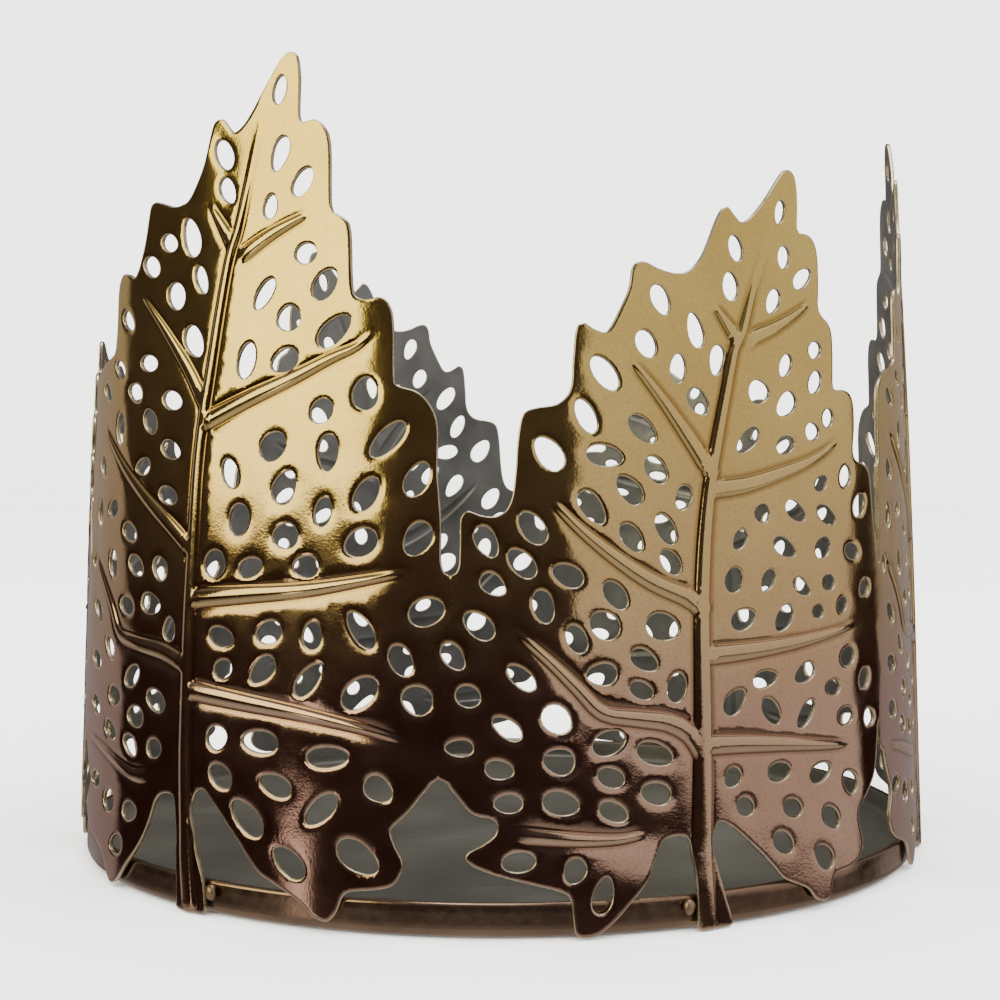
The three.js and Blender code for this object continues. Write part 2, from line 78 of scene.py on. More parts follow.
SHORT_BOTTOM = [[52.6,19.4],[52.2,17.2],[51.2,13.9],[48.7,11.4],[47.2,10.2],[47.2,8.5],[47.8,7.25],[48,5.8],[47.2,4.75],[45.3,3.9],[42.4,3.6],[41.6,2.9],[41.2,1.4],[40.3,0.8],[38.7,1.2],[37.4,2.5],[35.75,3.3],[33.5,4.3],[32.2,5.6],[30.3,7.5],[28.25,9.3],[26.4,10.8],[24.9,11.5],[24.2,10.8],[23.9,8.9],[24.5,6.4],[25.5,3.1],[26.1,1],[25.9,0],[22.1,0],[21.8,1.2],[21.7,4.3],[21.4,7.7],[20.75,10.1],[18.1,10],[17,8.1],[16,5.8],[14.1,3.5],[12,1.4],[10.3,0.3],[8.7,0.1],[8,0.6],[7.8,1.8],[7.5,4.2],[6.6,5],[3.7,5.8],[-0.1,6.8],[-2.6,7.7],[-3.6,8.5],[-3.4,9.3],[-1.75,10.2],[-0.5,11.2],[-0.3,12.25],[-0.9,12.9],[-2.8,13.3],[-4.25,14.75],[-5.7,16.6]]
TALL_HOLES = [[-26.2,92.3,1.6,0.85,75],[-34.7,85.9,2,1.3,-50],[-33.9,81.6,1.7,1.1,-50],[-26,85.25,2,1.05,68],[-23,81.8,1.8,1.05,52],[-27.3,79.3,1.35,0.9,75],[-40,76.7,2.4,1.45,-65],[-38,71.7,1.75,0.95,-62],[-22.5,73.9,1.4,1.1,10],[-28,69.6,2.1,0.9,50],[-19.9,70.5,1.9,1.25,50],[-24.6,66.8,1.6,1.35,20],[-18.9,65.2,2.4,1.2,38],[-30.4,62.3,2.1,1.2,70],[-25,62.2,1.9,1.2,22],[-15,58.4,1.75,1.45,80],[-20.3,56.5,1.5,1.2,40],[-12.3,53.5,2.6,1.1,42],[-26.4,52.75,1.9,1.45,35],[-19.4,51.9,2,1.2,85],[-39.2,64.75,2.1,1.5,-45],[-32.5,49.6,1.7,1.2,-65],[-31.1,44.5,1.8,1.45,75],[-24.9,48.1,2,1.4,60],[-24.7,42.8,1.65,1.35,10],[-19.9,45.6,1.6,1,75],[-14.8,47.5,2.05,1.2,55],[-15.5,42.2,2,1.4,25],[-9,49.2,2,1.2,58],[-8.9,42.8,1.95,1.4,55],[-34.7,39.4,1.7,1.5,30],[-29.4,39.2,1.7,1,20],[-22,39.5,1.6,1.15,5],[-7.9,34.9,2,1.4,20],[-33.5,31.3,1.9,1.05,-8],[-26.7,32.1,1.75,1.2,20],[-21.1,32.1,1.5,1.15,80],[-15.3,32.8,2.3,1.1,-52],[-10.8,29.7,1.75,1.2,-60],[-33,27.7,1.4,1,20],[-27.4,28,2,1.1,40],[-21.6,27.1,2.3,1,48],[-15.5,25.9,2.4,1.4,35],[-8.9,25.4,1.7,1.5,-20],[-33.7,20,1.55,1.3,20],[-27.8,20,2.4,1.2,0],[-19.2,18.9,2.5,1.1,5],[-33,15.7,1.8,1.2,-25],[-25.5,15.4,2.1,1.1,-15],[-13.25,15.8,1.65,1.3,-30],[-19.8,13.2,2.4,1.1,40],[-29.1,11.4,2.6,1.4,-38],[-15.5,8.4,2.6,1.5,-30],[-23.7,7.2,2.3,1.25,-35],[-44.2,76.4,1.6,1,-15],[-48,73.9,1.9,1.15,-20],[-42.8,70.2,1.8,1.5,-30],[-53.8,67.8,1.8,0.95,-30],[-56,62,1.7,0.95,-25],[-48.2,62.5,1.9,0.95,-5],[-61.2,59.4,2,0.95,-25],[-51.5,59.1,1.8,1.05,-15],[-42.9,58,1.9,1.05,-10],[-55.6,54.8,2,1.2,88],[-47.7,55.7,1.75,1.2,-40],[-43,52.3,1.9,1,-15],[-49.2,50.3,1.7,0.95,10],[-62.3,50.2,1.7,1.2,-35],[-43.5,47,1.9,1,-10],[-57.6,45.1,1.7,1.05,15],[-52.3,42.4,1.9,1,-15],[-63.2,44.4,1.8,1.3,85],[-57.25,38.4,1.9,1.3,-70],[-50.3,38.5,1.9,1.1,-20],[-44.75,38.5,1.6,1.3,-30],[-46.75,34.25,2.1,1.2,-5],[-52.7,33.6,1.9,1.05,-5],[-63,32.3,2.1,1.1,-28],[-42.6,31.5,1.4,1.1,75],[-57.8,28.2,1.9,1,-35],[-63.2,26.2,2.1,1.05,-8],[-50.8,25.4,2,1.1,28],[-45.2,23.1,2,1.2,-15],[-55.9,22.5,1.9,1.15,0],[-49.7,20.7,1.9,1.2,0],[-63.2,20.6,2,1.1,-15],[-57.2,18.2,2,1.1,-12],[-51,17.2,1.8,1.1,-20],[-45.2,17.5,1.5,1.1,10],[-62.6,11.4,2,1,5],[-57,9.7,1.8,1.35,0],[-50.6,9.4,1.7,1.1,5],[-53.6,5,1.8,1.15,15],[-66,38.5,1.2,0.9,80]]
SHORT_HOLES = [[28.25,74.8,1.5,0.9,-75],[27.4,70.6,1.6,1,-85],[18.3,68.7,1.75,1,-65],[22.7,65.4,2,0.95,-75],[16.5,63.9,1.6,1.1,-60],[20.4,61.2,1.6,0.95,85],[25.4,62.3,1.7,0.9,80],[22.9,57.6,1.7,1.1,-50],[11.6,60.7,2.2,1.15,-50],[9.5,56,2,1,-62],[16.1,54.5,2,1.05,-40],[5.4,51.9,2.1,1.3,-50],[11.5,51.7,2.1,1.1,-10],[17.6,50.1,1.7,1.1,-50],[14.5,47.9,1.9,1.1,-45],[10.1,46.1,2.1,1.1,-52],[20.9,47,1.35,0.95,75],[18.75,43.6,1.85,1,-58],[14.7,42.7,1.8,1,-50],[3.5,44,2,1.2,-50],[-1.5,42.5,1.8,1.1,-60],[19.3,40,1.6,0.95,-50],[2.4,40.1,1.9,1.1,-45],[-0.8,37.9,1.5,1,-35],[7.4,38.8,1.8,1.1,-25],[12.8,36.5,1.8,1.05,-48],[4.7,35.5,1.8,1.1,-75],[11.4,33.4,1.8,1.4,-30],[18.3,33,2,1.4,-15],[-2.2,33.4,1.9,1.15,-38],[8.3,32,1.6,1.05,-60],[16,29.5,1.75,1,-30],[11.2,28.1,1.7,1.15,0],[15.7,26.2,1.45,0.85,-25],[19.8,26.3,1.6,1.1,80],[2.3,27.9,1.85,0.9,-40],[6.2,23.3,1.8,1.4,-40],[0.75,22.5,1.8,0.9,-35],[11.8,20.7,1.9,1.25,20],[17.2,19.3,2.2,1.15,-20],[6.4,18.9,1.7,1.35,-15],[-0.1,18.1,1.5,0.95,-10],[12,17,1.55,1,-20],[17.3,15,1.75,1.15,-15],[6.6,14.4,2,1.2,-15],[0.8,14.5,1.5,0.95,0],[12.3,13.3,1.7,0.95,-25],[2.1,8.3,1.8,1.05,5],[8,7.2,1.35,1.15,60],[11,4.4,2,1.1,75],[34.8,79.25,1.4,0.75,75],[35.3,74.2,1.3,0.95,80],[38.4,71.9,1.8,0.95,30],[33.4,69,1.5,0.95,60],[40.5,63.8,1.2,0.95,20],[35.25,61.9,1.4,0.9,60],[40.3,60,1.5,1.05,50],[31,58.8,1.5,1.3,0],[35.3,57.5,1.75,1.2,35],[42.7,56,1.15,1,45],[39.6,54.4,1.25,1,0],[29.3,53.4,1.9,0.95,40],[35.1,52.9,1.5,1,15],[46,49.2,1.4,1.15,45],[41,48.4,1.25,0.8,25],[49.2,45.8,1.7,1.2,35],[31.2,45.2,1.1,1.05,0],[36.4,45.4,1.8,1,-30],[41.9,44.8,1.9,0.95,-25],[28,42.4,1.25,0.85,55],[34.6,41.3,1.9,0.95,-25],[41,41,1.5,1.1,30],[47.1,40.4,1.6,0.95,-10],[27.1,38,1.4,1.15,70],[31.9,37.7,1.35,0.85,55],[37.1,36.8,1.6,0.85,-30],[42.1,37,1.15,0.9,0],[50,36,1.3,1,30],[28.25,33.5,1.7,1.1,15],[34.2,33.3,1.7,1.1,48],[40,33.8,1,0.8,0],[44.7,34.3,1.15,0.9,25],[45.5,28.2,1.6,1.1,10],[31.25,26.7,1.75,0.9,8],[37.5,27,1.75,1,20],[49.3,25.3,1.4,1.1,40],[26.9,24.4,1.7,1.1,42],[42.4,24.9,1.4,0.9,0],[32.1,23,1.8,1,-50],[37.4,22.3,1.9,0.9,48],[44.8,21.4,1.6,1,0],[50.4,20.6,1.3,1.05,0],[26.6,16.2,1.15,1,45],[33,16.2,1.7,1.05,5],[39.7,15.4,1.9,1.05,12],[45.6,13.6,1.7,1.2,-35],[28.25,12.8,1.2,1,-30],[34.9,12,1.5,1,-20],[41.5,10.1,1.8,1.1,-35],[33.6,8.2,1.7,1.1,-35],[40.1,5.8,1.9,1.2,-38],[-5.1,30.2,1.6,1,-50],[-3.4,25.9,1.35,1.1,-20],[-4.3,20.4,1.5,0.85,0]]

# Raised veins: width at the root, width at the end, height, line.
TALL_VEINS = [
    (2.1, 0.7, 0.42, [[-37.6, 1], [-38.4, 8], [-38.9, 16], [-38.9, 24], [-38.7, 34], [-38.3, 42], [-37.8, 50],
                      [-37, 56], [-36, 61], [-34.6, 68], [-33.2, 74], [-32, 77], [-30.6, 82], [-28.9, 88.8]]),
    (1.5, 0.4, 0.32, [[-32, 73.5], [-30.8, 74.3], [-27, 76.3], [-22, 78.4]]),
    (1.7, 0.4, 0.34, [[-36, 55.7], [-30, 58], [-24, 60.2], [-19, 62.4], [-16, 63.6], [-14, 65.2]]),
    (1.8, 0.4, 0.36, [[-38, 35.4], [-30, 36.2], [-22, 37], [-15, 38.2], [-10, 39.2]]),
    (1.8, 0.4, 0.36, [[-38.5, 25], [-30, 24.3], [-22, 23.4], [-15, 22.2], [-10, 20.9]]),
    (1.4, 0.4, 0.30, [[-33.3, 76], [-34.5, 77.5], [-36.5, 80]]),
    (1.7, 0.4, 0.34, [[-37.2, 58], [-40, 61.5], [-44, 65.5], [-47.5, 68.6], [-50.3, 70.8]]),
    (1.8, 0.4, 0.36, [[-39.5, 41.5], [-43, 43.7], [-48, 46.5], [-53, 49.5], [-58, 52.8], [-62.5, 55.8]]),
    (1.8, 0.4, 0.36, [[-40, 28], [-44, 29], [-50, 29.5], [-54.5, 30.2], [-57, 33], [-61, 36.5], [-66, 40]]),
    (1.5, 0.4, 0.30, [[-46, 14.2], [-50, 13.9], [-55, 14.8], [-60, 15.8], [-66, 16.6]]),
]
SHORT_VEINS = [
    (2.1, 0.7, 0.42, [[22.9, 0], [22.6, 8], [22.8, 16], [22.9, 24], [22.9, 34], [23.3, 42], [24, 48], [24.8, 52],
                      [26.2, 58], [27.6, 63.5], [28.7, 65.3], [30, 69], [31.3, 72.5], [33, 76.2]]),
    (1.5, 0.4, 0.32, [[28.8, 63.8], [30.5, 65], [33, 65.9], [36.5, 67.5], [39.8, 69.3]]),
    (1.7, 0.4, 0.34, [[24.8, 48], [29, 48.5], [34, 49.7], [38.5, 50.9], [42, 52.2], [44.8, 53.5]]),
    (1.8, 0.4, 0.36, [[23.3, 29.8], [28, 30], [34, 30.4], [40, 31], [47.5, 31.9]]),
    (1.8, 0.4, 0.36, [[23.3, 20], [28, 19.8], [34, 19.3], [40, 18.6], [45.5, 18]]),
    (1.4, 0.4, 0.30, [[28, 64.5], [27, 66], [25.2, 68.2]]),
    (1.7, 0.4, 0.34, [[24.3, 49.8], [22.5, 52.5], [19.5, 56.5], [17, 59.5], [14.5, 62.3]]),
    (1.8, 0.4, 0.36, [[23, 35], [21, 36.3], [17, 38], [13, 40.5], [9, 43.6], [5.5, 47]]),
    (1.8, 0.4, 0.36, [[22.4, 19.75], [21.2, 21.4], [18.7, 22.7], [15, 23.3], [11.2, 24], [8.7, 26.4],
                     [5.75, 29.3], [1.6, 33]]),
    (1.5, 0.4, 0.30, [[1.5, 11.3], [5, 10.9], [9, 10.5], [13, 10.4], [16, 10.8]]),
]


# -------------------------------------------------------------- small helpers
def smooth(x):
    x = np.clip(x, 0.0, 1.0)
    return x * x * (3.0 - 2.0 * x)


def curve(points, step):
    """Smooth line through the points, about one vertex per step, both ends kept."""
    p = np.array(points, float)
    q = np.vstack([2 * p[0] - p[1], p, 2 * p[-1] - p[-2]])
    out = []
    for i in range(1, len(q) - 2):
        a, b, c, d = q[i - 1], q[i], q[i + 1], q[i + 2]
        n = max(1, int(round(np.linalg.norm(c - b) / step)))
        for k in range(n):
            t = k / n
            out.append(0.5 * (2 * b + (c - a) * t + (2 * a - 5 * b + 4 * c - d) * t * t
                              + (3 * b - a - 3 * c + d) * t ** 3))
    out.append(q[-2])
    return np.array(out)


def inside(poly, pts):
    x, y = pts[:, 0], pts[:, 1]
    res = np.zeros(len(pts), bool)
    n = len(poly)
    for i in range(n):
        x0, y0 = poly[i]
        x1, y1 = poly[(i + 1) % n]
        if y0 == y1:
            continue
        hit = (y0 > y) != (y1 > y)
        res ^= hit & (x < (x1 - x0) * (y - y0) / (y1 - y0) + x0)
    return res


def line_distance(pts, line):
    """Distance to an open line and the place of the nearest point on it, 0 to 1."""
    seg = np.linalg.norm(np.diff(line, axis=0), axis=1)
    run = np.concatenate([[0], np.cumsum(seg)])
    best = np.full(len(pts), 1e9)
    place = np.zeros(len(pts))
    for i in range(len(seg)):
        a, v = line[i], line[i + 1] - line[i]
        t = np.clip(((pts - a) @ v) / max(v @ v, 1e-12), 0, 1)
        d = np.linalg.norm(pts - a - t[:, None] * v, axis=1)
        near = d < best
        best[near] = d[near]
        place[near] = (run[i] + t[near] * seg[i]) / run[-1]
    return best, place


def point_distance(pts, cloud):
    best = np.full(len(pts), 1e9)
    for i in range(0, len(pts), 800):
        part = pts[i:i + 800]
        d = (part[:, None, 0] - cloud[None, :, 0]) ** 2 + (part[:, None, 1] - cloud[None, :, 1]) ** 2
        best[i:i + 800] = np.sqrt(d.min(axis=1))
    return best


def web_shift(z):
    line = np.array(WEB_LINE[::-1], float)
    return np.interp(z, line[:, 0], line[:, 1])


def web_edge(u, z_top, z_low):
    n = max(2, int(round((z_top - z_low) / 0.5)))
    z = np.linspace(z_top, z_low, n)
    return np.column_stack([u + web_shift(z), z])


# -------------------------------------------------------------- leaf of the wall
class Leaf:
    def __init__(self, name, tall, left, right, tip):
        self.name, self.left, self.right = name, left, right
        span = TALL_SPAN if tall else SHORT_SPAN
        base = TALL_TIP if tall else SHORT_TIP
        su = (right - left) / (span[1] - span[0])
        sz = (tip - WEB_Z) / (base - WEB_Z)

        def place(points):
            p = np.array(points, float)
            out = p.copy()
            out[:, 0] = left + (p[:, 0] - span[0]) * su
            out[:, 1] = np.where(p[:, 1] > WEB_Z, WEB_Z + (p[:, 1] - WEB_Z) * sz, p[:, 1])
            return out

        top = curve(place(TALL_TOP if tall else SHORT_TOP), 0.5)
        low = curve(place(TALL_BOTTOM if tall else SHORT_BOTTOM), 0.5)
        low[:, 1] = np.maximum(low[:, 1], 0.0)
        right_edge = web_edge(right - WEB_GAP / 2, top[-1, 1] - 0.1, low[0, 1] + 0.5)
        left_edge = web_edge(left + WEB_GAP / 2, top[0, 1] - 0.1, low[-1, 1] + 0.5)[::-1]
        # Clockwise seen from outside; turned round below.
        loop = np.vstack([top, right_edge, low, left_edge])
        is_web = np.concatenate([np.zeros(len(top), bool), np.ones(len(right_edge), bool),
                                 np.zeros(len(low), bool), np.ones(len(left_edge), bool)])
        keep = np.linalg.norm(loop - np.roll(loop, 1, axis=0), axis=1) > 0.05
        loop, is_web = loop[keep], is_web[keep]
        self.loop, self.is_web = loop[::-1].copy(), is_web[::-1].copy()
        self.webs = np.vstack([right_edge, left_edge])

        self.holes = []
        for i, (u, z, a, b, turn) in enumerate(TALL_HOLES if tall else SHORT_HOLES):
            c = place([[u, z]])[0]
            ku = min(su, 1.0)
            kz = min(sz, 1.0) if z > WEB_Z else 1.0
            self.holes.append((c[0], c[1], a, b, math.radians(turn), ku, kz, i))
        # Holes that came too close on the lower leaves are drawn in.
        for again in range(10):
            close = set()
            for i, one in enumerate(self.holes):
                for k in range(i + 1, len(self.holes)):
                    two = self.holes[k]
                    if abs(one[0] - two[0]) < 6 and abs(one[1] - two[1]) < 6:
                        p, q = self.hole_loop(one, 0.0, 24), self.hole_loop(two, 0.0, 24)
                        if inside(p, q).any() or inside(q, p).any() or point_distance(p, q).min() < 0.62:
                            close |= {i, k}
            for i in close:
                h = self.holes[i]
                self.holes[i] = (h[0], h[1], h[2] * 0.93, h[3] * 0.93) + h[4:]
            if not close:
                break

        self.veins = []
        for w0, w1, h, line in TALL_VEINS if tall else SHORT_VEINS:
            self.veins.append((w0, w1, h, curve(place(line), 1.2)))

    def hole_loop(self, hole, grow, n):
        u, z, a, b, turn, ku, kz, i = hole
        t = np.arange(n) * 2 * math.pi / n
        egg = 0.16 * math.sin(i * 2.4)
        x = (a + grow) * np.cos(t) * (1 + 0.06 * math.sin(i * 1.7) * np.cos(t))
        y = (b + grow) * np.sin(t) * (1 + egg * np.cos(t))
        c, s = math.cos(turn), math.sin(turn)
        return np.column_stack([u + (x * c - y * s) * ku, z + (x * s + y * c) * kz])

    def relief(self, pts):
        """Height of the sheet over the plain wall, with masks for ribs and grooves."""
        n = len(pts)
        u, z = pts[:, 0], pts[:, 1]
        rib = np.zeros(n)
        height = np.zeros(n)
        groove = np.zeros(n)
        clear = np.full(n, 1e9)
        for w0, w1, h, line in self.veins:
            d, t = line_distance(pts, line)
            half = 0.5 * (w0 + (w1 - w0) * t ** 1.3)
            run = smooth((1.0 - t) / 0.16)
            if h < 0.35 and w0 == 1.5:
                run = run * smooth(t / 0.2)
            s = smooth((half + 0.16 - d) / 0.32)
            top = s * run * (0.66 * h * (1.0 - 0.35 * t) + 0.05 * np.clip(1 - (d / half) ** 2, 0, 1))
            height = np.maximum(height, top)
            rib = np.maximum(rib, s * run)
            line_cut = np.exp(-((d - half - 0.26) / 0.20) ** 2) * run
            groove = np.maximum(groove, line_cut)
            clear = np.minimum(clear, d - half)
        # The left half of each leaf is folded back a little along the midrib.
        spine = self.veins[0][3]
        aside = np.interp(z, spine[:, 1], spine[:, 0]) - u
        fold = np.where(aside > 0, -0.75 * (1 - np.exp(-np.maximum(aside, 0) / 5.0))
                        * np.exp(-np.maximum(aside, 0) / 13.0), 0.0)
        groove = groove * (1 - rib)
        clear = np.maximum(clear, 0)
        cell = 0.06 * (1 - np.exp(-clear / 2.0)) - 0.06
        foot = smooth((z - 4) / 7)
        web_d = point_distance(pts, self.webs)
        fade = smooth(web_d / 4.0)
        wave = (0.06 * np.sin(u * 0.01805 * 9 + z * 0.05 + 0.6) + 0.025 * np.sin(u * 0.01805 * 20 - z * 0.09 + 2.1)
                + 0.010 * np.sin(u * 0.01805 * 41 + z * 0.20))
        lip = np.zeros(n)
        for hole in self.holes:
            hu, hz, a, b, turn, ku, kz, i = hole
            du, dz = (u - hu) / ku, (z - hz) / kz
            near = (np.abs(du) < a + 3) & (np.abs(dz) < a + 3)
            if not near.any():
                continue
            x = du[near] * math.cos(turn) + dz[near] * math.sin(turn)
            y = -du[near] * math.sin(turn) + dz[near] * math.cos(turn)
            q = np.sqrt((x / a) ** 2 + (y / b) ** 2) + 1e-9
            d = (1 - 1 / q) * np.sqrt(x * x + y * y)
            lip[near] = np.maximum(lip[near], np.exp(-(np.maximum(d, 0) / 0.4) ** 2))
        total = (fade * (height + (cell + fold - 0.10 * groove) * foot) + wave * foot
                 - 0.06 * lip * foot)
        return total, rib * fade, groove * fade, lip

    def build(self):
        loop, is_web = self.loop, self.is_web
        n = len(loop)
        tangent = np.roll(loop, -1, axis=0) - np.roll(loop, 1, axis=0)
        tangent /= np.linalg.norm(tangent, axis=1)[:, None]
        inward = np.column_stack([-tangent[:, 1], tangent[:, 0]])
        eased = np.where(is_web, 0.0, 1.0)
        first = loop + inward * (EDGE_OUT * eased)[:, None]
        # loops: points on the sheet, true cut edge, rounding share
        loops = [(first, loop, eased)]
        for hole in self.holes:
            k = 18
            sheet = self.hole_loop(hole, EDGE_OUT, k)
            cut = self.hole_loop(hole, 0.0, k)
            loops.append((sheet[::-1].copy(), cut[::-1].copy(), np.ones(k)))

        edge_pts = np.vstack([a for a, _, _ in loops])
        outer = loops[0][0]

        extra = []
        row_length = []
        for w0, w1, h, line in self.veins:
            run = np.concatenate([[0], np.cumsum(np.linalg.norm(np.diff(line, axis=0), axis=1))])
            t = np.linspace(0, 1, max(4, int(run[-1] / 0.5)))
            at = np.column_stack([np.interp(t * run[-1], run, line[:, k]) for k in (0, 1)])
            d = np.gradient(at, axis=0)
            d /= np.linalg.norm(d, axis=1)[:, None]
            side = np.column_stack([-d[:, 1], d[:, 0]])
            half = 0.5 * (w0 + (w1 - w0) * t ** 1.3)
            rows = [at]
            for off in (-0.18, 0.0, 0.18, 0.42, 0.75):
                for sign in (-1, 1):
                    rows.append(at + side * (sign * (half + off))[:, None])
            extra.append(np.vstack(rows))
            row_length.append(len(at))
        ribs = len(extra)
        for hole in self.holes:
            extra.append(self.hole_loop(hole, EDGE_OUT + 0.33, 18))
            extra.append(self.hole_loop(hole, EDGE_OUT + 0.8, 16))
        extra.append(first + inward * 0.34)
        extra.append((first + inward * 0.85)[::2])
        lo, hi = outer.min(axis=0), outer.max(axis=0)
        step = 1.05
        rows = np.arange(lo[1], hi[1], step * 0.866)
        cols = np.arange(lo[0], hi[0], step)
        grid = np.array([(c + (r % 2) * step / 2, z) for r, z in enumerate(rows) for c in cols])
        ok_all = []
        count = len(edge_pts)
        rib_edges = []
        plan = [(b, 0.16, 0.16) for b in extra[:ribs]] + [(b, 0.24, 0.22) for b in extra[ribs:]] + [(grid, 0.5, 0.55)]
        for number, (batch, room_edge, room) in enumerate(plan):
            keep = inside(outer, batch)
            for hole in self.holes:
                near = np.nonzero(keep & (np.abs(batch[:, 0] - hole[0]) < 4) & (np.abs(batch[:, 1] - hole[1]) < 4))[0]
                if len(near):
                    keep[near[inside(self.hole_loop(hole, EDGE_OUT + 0.05, 18), batch[near])]] = False
            idx = np.nonzero(keep)[0]
            if not len(idx):
                continue
            clear = np.zeros(len(batch))
            clear[idx] = point_distance(batch[idx], edge_pts)
            keep &= clear > room_edge
            idx = np.nonzero(keep)[0]
            if len(idx) and ok_all:
                keep[idx[point_distance(batch[idx], np.vstack(ok_all)) <= room]] = False
            if not keep.any():
                continue
            place = count + np.cumsum(keep) - 1
            if number < ribs:
                size = row_length[number]
                for i in range(len(batch) - 1):
                    if (i + 1) % size and keep[i] and keep[i + 1] and clear[i] > 0.34 and clear[i + 1] > 0.34:
                        rib_edges.append((int(place[i]), int(place[i + 1])))
            ok_all.append(batch[keep])
            count += int(keep.sum())
        sheet_pts = np.vstack([edge_pts] + ok_all)

        edges = []
        start = 0
        for a, _, _ in loops:
            k = len(a)
            edges += [(start + i, start + (i + 1) % k) for i in range(k)]
            start += k
        edges += rib_edges
        middle = (self.left + self.right) / 2
        v2, _, f2, ov, _, _ = delaunay_2d_cdt([Vector((p[0] - middle, p[1] - WEB_Z)) for p in sheet_pts],
                                               edges, [], 0, 1e-6, True)
        new_of = {}
        for j, olds in enumerate(ov):
            for i in olds:
                new_of[i] = j
        pts = np.array([(p.x + middle, p.y + WEB_Z) for p in v2])
        tri = np.array([f for f in f2 if len(f) == 3], int)
        mid = pts[tri].mean(axis=1)
        good = inside(outer, mid)
        for hole, (a, _, _) in zip(self.holes, loops[1:]):
            near = good & (np.abs(mid[:, 0] - hole[0]) < 4) & (np.abs(mid[:, 1] - hole[1]) < 4)
            idx = np.nonzero(near)[0]
            if len(idx):
                good[idx[inside(a, mid[idx])]] = False
        area = ((pts[tri[:, 1], 0] - pts[tri[:, 0], 0]) * (pts[tri[:, 2], 1] - pts[tri[:, 0], 1])
                - (pts[tri[:, 1], 1] - pts[tri[:, 0], 1]) * (pts[tri[:, 2], 0] - pts[tri[:, 0], 0]))
        good &= np.abs(area) > 3e-5
        tri[area < 0] = tri[area < 0][:, ::-1]
        tri = tri[good]

        used = np.unique(tri)
        slot = -np.ones(len(pts), int)
        slot[used] = np.arange(len(used))
        pts = pts[used]
        tri = slot[tri]
        h, rib, groove, lip = self.relief(pts)
        m = len(pts)

        def at(p, height, depth):
            r = WALL_R - WALL_LEAN * p[:, 1] + height - depth
            t = p[:, 0] / ROUND_R
            return np.column_stack([r * np.sin(t), -r * np.cos(t), p[:, 1]]) * MM

        verts = [at(pts, h, 0.0), at(pts, h, SHEET_T)]
        masks = {"rib": [rib, rib * 0], "groove": [groove, groove * 0], "lip": [lip, lip * 0]}
        faces = tri.tolist() + (tri[:, ::-1] + m).tolist()
        kind = [0] * len(tri) + [1] * len(tri)
        sharp = []
        base = 2 * m
        start = 0
        for a, cut, ease in loops:
            k = len(a)
            ids = np.array([slot[new_of[start + i]] for i in range(k)])
            start += k
            hh = h[ids]
            sheet = pts[ids]
            eo = EDGE_OUT * ease
            ei = EDGE_IN * ease
            rings = [ids]
            for share, depth in ((0.293, 0.293 * eo), (0.0, eo), (0.0, SHEET_T - ei), (0.293, SHEET_T - 0.293 * ei)):
                p = cut + (sheet - cut) * share
                if not ease.all():
                    depth = np.where(ease > 0, depth, SHEET_T * (len(rings) / 5.0))
                verts.append(at(p, hh, depth))
                for key in masks:
                    masks[key].append(np.ones(k) if key == "lip" else np.zeros(k))
                rings.append(base + np.arange(k))
                base += k
            rings.append(ids + m)
            for lo_ring, hi_ring in zip(rings[:-1], rings[1:]):
                for i in range(k):
                    j = (i + 1) % k
                    faces.append([int(lo_ring[j]), int(lo_ring[i]), int(hi_ring[i]), int(hi_ring[j])])
                    kind.append(2)
            if not ease.all():
                for i in range(k):
                    j = (i + 1) % k
                    if ease[i] == 0 and ease[j] == 0:
                        sharp.append((int(rings[0][i]), int(rings[0][j])))
                        sharp.append((int(rings[-1][i]), int(rings[-1][j])))
        verts = np.vstack(verts)
        mesh = bpy.data.meshes.new("leaf_" + self.name)
        mesh.from_pydata(verts.tolist(), [], faces)
        mesh.polygons.foreach_set("material_index", kind)
        mesh.polygons.foreach_set("use_smooth", [True] * len(faces))
        for key, parts in masks.items():
            layer = mesh.attributes.new(key, "FLOAT", "POINT")
            layer.data.foreach_set("value", np.concatenate(parts).astype(np.float32))
        if sharp:
            want = {tuple(sorted(s)) for s in sharp}
            for e in mesh.edges:
                if tuple(sorted(e.vertices)) in want:
                    e.use_edge_sharp = True
        mesh.update()
        obj = bpy.data.objects.new("leaf_" + self.name, mesh)
        bpy.context.scene.collection.objects.link(obj)
        return obj


# ------------------------------------------------------------------- materials
def nodes_of(name):
    mat = bpy.data.materials.new(name)
    mat.use_nodes = True
    tree = mat.node_tree
    return mat, tree, tree.nodes["Principled BSDF"]


def add(tree, kind, **values):
    node = tree.nodes.new(kind)
    for key, value in values.items():
        setattr(node, key, value)
    return node


def ramp(tree, stops, source, mode="LINEAR"):
    node = tree.nodes.new("ShaderNodeValToRGB")
    node.color_ramp.interpolation = mode
    els = node.color_ramp.elements
    while len(els) > 1:
        els.remove(els[-1])
    els[0].position = stops[0][0]
    els[0].color = (*stops[0][1], 1)
    for pos, col in stops[1:]:
        e = els.new(pos)
        e.color = (*col, 1)
    if source is not None:
        tree.links.new(source, node.inputs["Fac"])
    return node


def grey(v):
    return (v, v, v)


def noise(tree, coords, scale, detail=4.0, rough=0.55):
    node = tree.nodes.new("ShaderNodeTexNoise")
    node.inputs["Scale"].default_value = scale
    node.inputs["Detail"].default_value = detail
    node.inputs["Roughness"].default_value = rough
    tree.links.new(coords, node.inputs["Vector"])
    return node


def mix(tree, fac, a, b, blend="MIX"):
    node = tree.nodes.new("ShaderNodeMix")
    node.data_type = "RGBA"
    node.blend_type = blend
    for value, socket in ((fac, node.inputs[0]), (a, node.inputs[6]), (b, node.inputs[7])):
        if isinstance(value, (int, float)):
            socket.default_value = value
        elif isinstance(value, tuple):
            socket.default_value = (*value, 1)
        else:
            tree.links.new(value, socket)
    return node.outputs[2]


